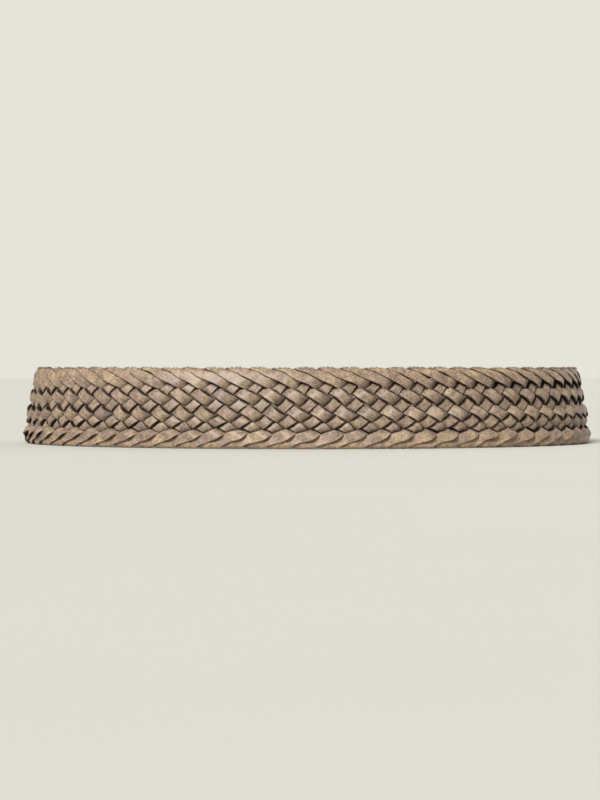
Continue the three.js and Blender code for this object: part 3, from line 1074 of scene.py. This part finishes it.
def make_stitches(name, course, material):
    """Thread that rises out of one hole and dips into the next."""
    rings = 8
    around = 8
    hole, middle_gain = 0.45, 0.55     # thread's thickness in a hole, and how much it gains between
    rise, sink = 1.05, 0.75            # of the thread's middle, in halves of its thickness
    pattern_step = 7.3 * MM            # from one stitch's twist pattern to the next
    tab = course.tab
    points = []
    faces = []
    place = []
    turn = np.arange(around) * math.tau / around
    share = np.linspace(0, 1, rings)
    arch = np.sin(share * math.pi)
    radius = tab.thread * (hole + middle_gain * arch ** 0.5)
    wide = radius[:, None] * np.cos(turn)[None, :]
    deep = radius[:, None] * np.sin(turn)[None, :]
    for number, (start, stop) in enumerate(stitch_ends(course)):
        way = np.array(stop) - np.array(start)
        way /= np.hypot(*way)
        distance = start[0] + (stop[0] - start[0]) * share
        level = start[1] + (stop[1] - start[1]) * share
        middle = course.leaf_out(distance) + tab.wall / 2 + tab.thread * (arch * rise - sink)
        along = np.repeat(share * tab.stitch_length + number * pattern_step, around)
        for face in (1, -1):
            spots = course.place(
                distance[:, None] - way[1] * wide, level[:, None] + way[0] * wide,
                face * (middle[:, None] + deep))
            base = len(points) * rings * around
            points.append(spots.reshape(-1, 3))
            turned = face * course.side > 0
            for quad in ring_faces(rings, around):
                faces.append([base + k for k in (quad if turned else quad[::-1])])
            place.append(np.stack([along, wide.ravel(), deep.ravel()], 1))
    piece = make_piece("stitches_%s" % name, np.concatenate(points), faces, material)
    paint(piece, "leather_place", np.concatenate(place))


class BELT_OT_clasp(bpy.types.Operator):
    """Build the clasp's plate with its two slots"""
    bl_idname = "belt.clasp"
    bl_label = "Clasp"

    def execute(self, context):
        scene = context.scene
        loop = scene.belt_loop
        oval = Oval(loop, scene.belt_clasp)
        front = oval.centre[1] + oval.depth_at(oval.bar_x)
        mesh = flat_plate(scene.belt_clasp)
        for vertex in mesh.vertices:
            x, up, deep = vertex.co
            turn = math.acos(x / loop.half_width)
            outward = Vector((math.cos(turn) / loop.half_width, math.sin(turn) / loop.half_depth))
            outward.normalize()
            height = loop.height / 2 + up
            lean = oval.lean(height)
            vertex.co = (
                oval.centre[0] + x + outward.x * lean, front - deep + outward.y * lean, height)
        piece = mesh_piece("clasp_plate", mesh, clasp_metal())
        piece.data.set_sharp_from_angle(angle=math.radians(35))
        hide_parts("clasp")
        return {"FINISHED"}


def flat_plate(sizes):
    """The clasp's plate as a flat mesh round the origin, facing up."""
    curve = bpy.data.curves.new("clasp_outline", "CURVE")
    curve.dimensions = "2D"
    curve.fill_mode = "BOTH"
    curve.extrude = sizes.depth / 2 - sizes.bevel
    curve.bevel_depth = sizes.bevel
    curve.bevel_resolution = 3
    curve.offset = -sizes.bevel
    slot_middle = sizes.width / 2 - sizes.bar - sizes.slot / 2
    slot_height = sizes.height - 2 * sizes.bar
    add_outline(curve, 0, sizes.width, sizes.height, sizes.corner)
    for side in (-1, 1):
        add_outline(curve, side * slot_middle, sizes.slot, slot_height, sizes.inner_corner)
    shape = bpy.data.objects.new("clasp_outline", curve)
    mesh = bpy.data.meshes.new_from_object(shape)
    bpy.data.objects.remove(shape)
    return mesh


def add_outline(curve, middle, width, height, radius):
    """A rounded rectangle as one closed line of the curve."""
    arcs = 6
    spots = []
    for number, (side, up) in enumerate(((1, 1), (-1, 1), (-1, -1), (1, -1))):
        for k in range(arcs + 1):
            turn = math.radians(90 * (number + k / arcs))
            spots.append((
                middle + side * (width / 2 - radius) + radius * math.cos(turn),
                up * (height / 2 - radius) + radius * math.sin(turn), 0, 1))
    line = curve.splines.new("POLY")
    line.points.add(len(spots) - 1)
    for point, spot in zip(line.points, spots):
        point.co = spot
    line.use_cyclic_u = True


class Nodes:
    """Short way to build a node tree."""

    def __init__(self, tree):
        self.tree = tree

    def add(self, kind, values=(), **settings):
        node = self.tree.nodes.new(kind)
        for key, value in settings.items():
            setattr(node, key, value)
        for key, value in dict(values).items():
            self.put(node.inputs[key], value)
        return node

    def put(self, socket, value):
        if isinstance(value, bpy.types.NodeSocket):
            self.tree.links.new(value, socket)
        else:
            socket.default_value = value

    def painted(self, name, output="Fac"):
        """What paint has stored on the piece."""
        return self.add("ShaderNodeAttribute", attribute_name=name).outputs[output]

    def math(self, operation, first, second=0.0):
        return self.add("ShaderNodeMath", {0: first, 1: second}, operation=operation).outputs[0]

    def weighed(self, *pairs):
        """The sum of values, each times its weight."""
        parts = [self.math("MULTIPLY", value, weight) for value, weight in pairs]
        total = parts[0]
        for part in parts[1:]:
            total = self.math("ADD", total, part)
        return total

    def remap(self, value, low, high, to_low=0.0, to_high=1.0):
        values = {"Value": value, "From Min": low, "From Max": high, "To Min": to_low, "To Max": to_high}
        return self.add("ShaderNodeMapRange", values).outputs["Result"]

    def stretch(self, vector, *scale):
        return self.add("ShaderNodeVectorMath", {0: vector, 1: scale}, operation="MULTIPLY").outputs[0]

    def noise(self, vector, scale, detail=2.0):
        values = {"Vector": vector, "Scale": scale, "Detail": detail}
        return self.add("ShaderNodeTexNoise", values).outputs["Fac"]

    def mix(self, factor, first, second, blend="MIX"):
        values = {"Factor": factor, "A": first, "B": second}
        return self.add("ShaderNodeMix", values, data_type="RGBA", blend_type=blend).outputs["Result"]

    def times(self, colour, tint):
        return self.mix(1.0, colour, tint, "MULTIPLY")

    def bump(self, height, strength, distance):
        values = {"Strength": strength, "Distance": distance, "Height": height}
        return self.add("ShaderNodeBump", values).outputs["Normal"]


def new_group(name, inputs, outputs):
    """An empty node group with its sockets, and its first and last node."""
    tree = bpy.data.node_groups.new(name, "ShaderNodeTree")
    for way, sockets in (("INPUT", inputs), ("OUTPUT", outputs)):
        for label, kind in sockets.items():
            tree.interface.new_socket(label, in_out=way, socket_type="NodeSocket" + kind)
    nodes = Nodes(tree)
    return tree, nodes, nodes.add("NodeGroupInput").outputs, nodes.add("NodeGroupOutput").inputs


def new_material(name):
    """An empty material, its nodes and its shader's sockets."""
    material = bpy.data.materials.new(name)
    material.use_nodes = True
    return material, Nodes(material.node_tree), material.node_tree.nodes["Principled BSDF"].inputs


def leather_grain():
    """Fine pores and soft creases as a height, and cloudy patches as a mask."""
    tree, nodes, given, result = new_group(
        "Leather grain", {"Place": "Vector"}, {"Height": "Float", "Mottle": "Float"})
    place = nodes.stretch(given["Place"], 1 / MM, 1 / MM, 1 / MM)
    pores = nodes.add("ShaderNodeTexVoronoi", {"Vector": place, "Scale": 1.7}).outputs["Distance"]
    fine = nodes.noise(place, 2.6, 3)
    creases = nodes.noise(nodes.stretch(place, 0.5, 1.3, 1), 0.9)
    patches = nodes.noise(place, 0.35)
    specks = nodes.noise(nodes.stretch(place, 0.8, 1.2, 1), 1.1, 1)
    mottle = nodes.weighed((patches, 0.35), (creases, 0.25), (specks, 0.4))
    nodes.put(result["Height"], nodes.weighed((pores, 0.4), (fine, 0.35), (creases, 0.6)))
    nodes.put(result["Mottle"], nodes.remap(mottle, 0.40, 0.60))
    return tree


def leather_tone(colours):
    """Taupe leather that drifts between mauve grey and olive tan, with dark fibrous cut edges that also
    stand for painted shade.
    """
    tree, nodes, given, result = new_group(
        "Leather tone", {"Place": "Vector", "Mottle": "Float", "Cut": "Float", "Flesh": "Float"},
        {"Color": "Color", "Roughness": "Float"})
    drift = nodes.noise(nodes.stretch(given["Place"], 70, 25, 25), 1.0, 1)
    shade = nodes.noise(nodes.stretch(given["Place"], 110, 20, 20), 1.0, 1)
    fibre = nodes.noise(nodes.stretch(given["Place"], 900, 900, 2600), 1.0)
    colour = nodes.mix(nodes.remap(drift, 0.36, 0.50), colours.mauve, colours.taupe)
    colour = nodes.mix(nodes.remap(drift, 0.50, 0.64), colour, colours.olive)
    light = nodes.remap(shade, 0.35, 0.65, 0.86, 1.16)
    light = nodes.math("MULTIPLY", light, nodes.remap(given["Mottle"], 0, 1, 0.60, 1.36))
    grey = nodes.add("ShaderNodeCombineColor", {"Red": light, "Green": light, "Blue": light})
    colour = nodes.times(colour, grey.outputs[0])
    # dark cut edges, partly painted shade outlining each strand
    cut = nodes.mix(nodes.remap(fibre, 0.35, 0.68), colours.dark_cut_and_shade, colours.cut_pale)
    flesh = nodes.mix(fibre, colours.flesh_dark, colours.flesh_pale)
    colour = nodes.mix(given["Cut"], colour, cut)
    nodes.put(result["Color"], nodes.mix(given["Flesh"], colour, flesh))
    rough = nodes.remap(given["Mottle"], 0, 1, 0.37, 0.52)
    matte = nodes.math("MAXIMUM", given["Cut"], given["Flesh"])
    nodes.put(result["Roughness"], nodes.weighed((rough, 1.0), (matte, 0.4)))
    return tree


def leather_base(name):
    """A leather material with its grain, and the colour and the roughness still to be put in."""
    material, nodes, shader = new_material(name)
    groups = bpy.data.node_groups
    grain_tree = groups.get("Leather grain") or leather_grain()
    tone_tree = groups.get("Leather tone") or leather_tone(bpy.context.scene.belt_colours)
    place = nodes.painted("leather_place", "Vector")
    grain = nodes.add("ShaderNodeGroup", {}, node_tree=grain_tree)
    nodes.put(grain.inputs["Place"], place)
    tone = nodes.add("ShaderNodeGroup", {
        "Place": place, "Mottle": grain.outputs["Mottle"], "Cut": nodes.painted("cut_edge_and_shade"),
        "Flesh": nodes.painted("flesh")}, node_tree=tone_tree)
    nodes.put(shader["Normal"], nodes.bump(grain.outputs["Height"], 0.45, 0.16 * MM))
    return material, nodes, shader, tone.outputs


def strand_leather(loop):
    """Strands are lighter and warmer along the belt's edges, with painted shade where they dive under
    another strand.
    """
    white = (1, 1, 1, 1)
    edge_tint = (1.09, 1.045, 0.975, 1)
    edge_range = (12 * MM, 20 * MM)            # off the belt's middle
    shade_range = (0.02, 0.45)                 # of how much of a strand is covered, over which the painted shade comes in
    material, nodes, shader, tone = leather_base("strand_leather")
    off_middle = nodes.math("SUBTRACT", nodes.painted("belt_height"), loop.height / 2)
    edge = nodes.remap(nodes.math("ABSOLUTE", off_middle), *edge_range)
    covered = nodes.remap(nodes.painted("covered"), *shade_range)
    colour = nodes.times(tone["Color"], nodes.mix(edge, white, edge_tint))
    # painted shade: leather darkens where another strand covers it
    shade = nodes.mix(covered, white, bpy.context.scene.belt_colours.shade)
    nodes.put(shader["Base Color"], nodes.times(colour, shade))
    nodes.put(shader["Roughness"], nodes.weighed((tone["Roughness"], 1.0), (covered, 0.4)))
    shader["Specular IOR Level"].default_value = 0.4
    return material


def tab_leather():
    """Plain leather, one colour from edge to edge."""
    material, nodes, shader, tone = leather_base("tab_leather")
    nodes.put(shader["Base Color"], tone["Color"])
    nodes.put(shader["Roughness"], tone["Roughness"])
    return material


def thread_material():
    """Twisted waxed thread."""
    colours = bpy.context.scene.belt_colours
    material, nodes, shader = new_material("thread")
    place = nodes.stretch(nodes.painted("leather_place", "Vector"), 1 / MM, 1 / MM, 1 / MM)
    twist = nodes.add(
        "ShaderNodeTexWave", {"Vector": place, "Scale": 0.55, "Distortion": 0.6},
        wave_type="BANDS", bands_direction="DIAGONAL").outputs["Fac"]
    nodes.put(shader["Base Color"], nodes.mix(twist, colours.thread_dark, colours.thread_pale))
    nodes.put(shader["Normal"], nodes.bump(twist, 0.6, 0.1 * MM))
    shader["Roughness"].default_value = 0.7
    return material


def clasp_metal():
    """Brushed brass, dull with age."""
    colours = bpy.context.scene.belt_colours
    material, nodes, shader = new_material("clasp_metal")
    place = nodes.add("ShaderNodeTexCoord").outputs["Object"]
    lines = nodes.noise(nodes.stretch(place, 60, 60, 5200), 1.0, 3)
    age = nodes.noise(nodes.stretch(place, 120, 120, 120), 1.0, 3)
    colour = nodes.mix(nodes.remap(age, 0.30, 0.75), colours.metal_dark, colours.metal_pale)
    dull = nodes.remap(age, 0.3, 0.7, 0.44, 0.34)
    brushed = nodes.remap(lines, 0.3, 0.7, -0.05, 0.08)
    nodes.put(shader["Base Color"], colour)
    nodes.put(shader["Roughness"], nodes.math("ADD", dull, brushed))
    nodes.put(shader["Normal"], nodes.bump(lines, 0.3, 0.05 * MM))
    shader["Metallic"].default_value = 1.0
    return material


def floor_material(studio):
    """Pale matte card with a faint cloudiness."""
    material, nodes, shader = new_material("floor")
    clouds = nodes.noise(nodes.add("ShaderNodeTexCoord").outputs["Object"], 6.0)
    nodes.put(shader["Base Color"], nodes.mix(clouds, studio.floor_dark, studio.floor_pale))
    shader["Roughness"].default_value = 0.9
    return material


class BELT_OT_studio(bpy.types.Operator):
    """Build the floor, the lights and the camera"""
    bl_idname = "belt.studio"
    bl_label = "Studio"

    def execute(self, context):
        scene = context.scene
        studio = scene.belt_studio
        half = studio.floor_half
        corners = [(-half, -half, 0), (half, -half, 0), (half, half, 0), (-half, half, 0)]
        mesh = bpy.data.meshes.new("floor")
        mesh.from_pydata(corners, [], [(0, 1, 2, 3)])
        mesh.materials.append(floor_material(studio))
        floor = bpy.data.objects.new("floor", mesh)
        scene.collection.objects.link(floor)
        scene.world = make_world(studio)
        add_light("key", studio.key_from, studio.key_spread, studio.key_strength)
        add_light("fill", studio.fill_from, studio.fill_spread, studio.fill_strength)
        scene.camera = make_camera(studio)
        scene.view_settings.view_transform = "Standard"
        return {"FINISHED"}


def make_world(studio):
    """Soft light from all round, with a paler background where the camera looks past the belt."""
    world = bpy.data.worlds.new("studio")
    world.use_nodes = True
    nodes = Nodes(world.node_tree)
    soft = world.node_tree.nodes["Background"]
    soft.inputs["Color"].default_value = studio.ambient_colour
    soft.inputs["Strength"].default_value = studio.ambient
    seen = nodes.add("ShaderNodeBackground", {"Color": studio.backdrop, "Strength": 1})
    looked_at = nodes.add("ShaderNodeLightPath").outputs["Is Camera Ray"]
    both = nodes.add("ShaderNodeMixShader", {
        0: looked_at, 1: soft.outputs["Background"], 2: seen.outputs["Background"]})
    nodes.put(world.node_tree.nodes["World Output"].inputs["Surface"], both.outputs["Shader"])
    return world


def add_light(name, from_where, spread, strength):
    """A wide soft light, far away, so the floor is evenly lit."""
    light = bpy.data.lights.new(name, "SUN")
    light.angle = spread
    light.energy = strength
    lamp = bpy.data.objects.new(name, light)
    lamp.location = from_where
    lamp.rotation_euler = Vector(from_where).to_track_quat("Z", "Y").to_euler()
    bpy.context.scene.collection.objects.link(lamp)


def make_camera(studio):
    """Looks at the middle of the back from a little below the belt's upper edge."""
    lens = bpy.data.cameras.new("camera")
    lens.lens = studio.focal
    lens.sensor_width = SENSOR
    lens.shift_x = studio.look_left / FRAME_HEIGHT
    lens.clip_end = 3 * studio.floor_half
    camera = bpy.data.objects.new("camera", lens)
    bpy.context.scene.collection.objects.link(camera)
    pixel = SENSOR / FRAME_HEIGHT / studio.focal
    camera.location = (0, -studio.distance, studio.camera_height)
    camera.rotation_euler = (math.pi / 2 - math.atan(studio.look_down * pixel), 0, 0)
    return camera


class BELT_PT_panel(bpy.types.Panel):
    """Lists the belt's pieces"""
    bl_idname = "BELT_PT_panel"
    bl_label = "Braided belt"
    bl_space_type = "VIEW_3D"
    bl_region_type = "UI"
    bl_category = "Belt"

    def draw(self, context):
        for operator in OPERATORS:
            self.layout.operator(operator.bl_idname)


OPERATORS = (BELT_OT_braid, BELT_OT_tabs, BELT_OT_stitches, BELT_OT_clasp, BELT_OT_studio)
GROUPS = {
    "belt_loop": LoopSizes,
    "belt_braid": BraidSizes,
    "belt_tab": TabSizes,
    "belt_clasp": ClaspSizes,
    "belt_colours": BeltColours,
    "belt_studio": StudioSizes,
}
CLASSES = (*GROUPS.values(), *OPERATORS, BELT_PT_panel)


def register():
    for item in CLASSES:
        bpy.utils.register_class(item)
    for name, group in GROUPS.items():
        setattr(bpy.types.Scene, name, PointerProperty(type=group))


def unregister():
    for name in GROUPS:
        delattr(bpy.types.Scene, name)
    for item in reversed(CLASSES):
        bpy.utils.unregister_class(item)


def main():
    register()
    bpy.ops.belt.braid()
    bpy.ops.belt.tabs()
    bpy.ops.belt.stitches()
    bpy.ops.belt.clasp()
    bpy.ops.belt.studio()


if __name__ == "__main__":
    main()
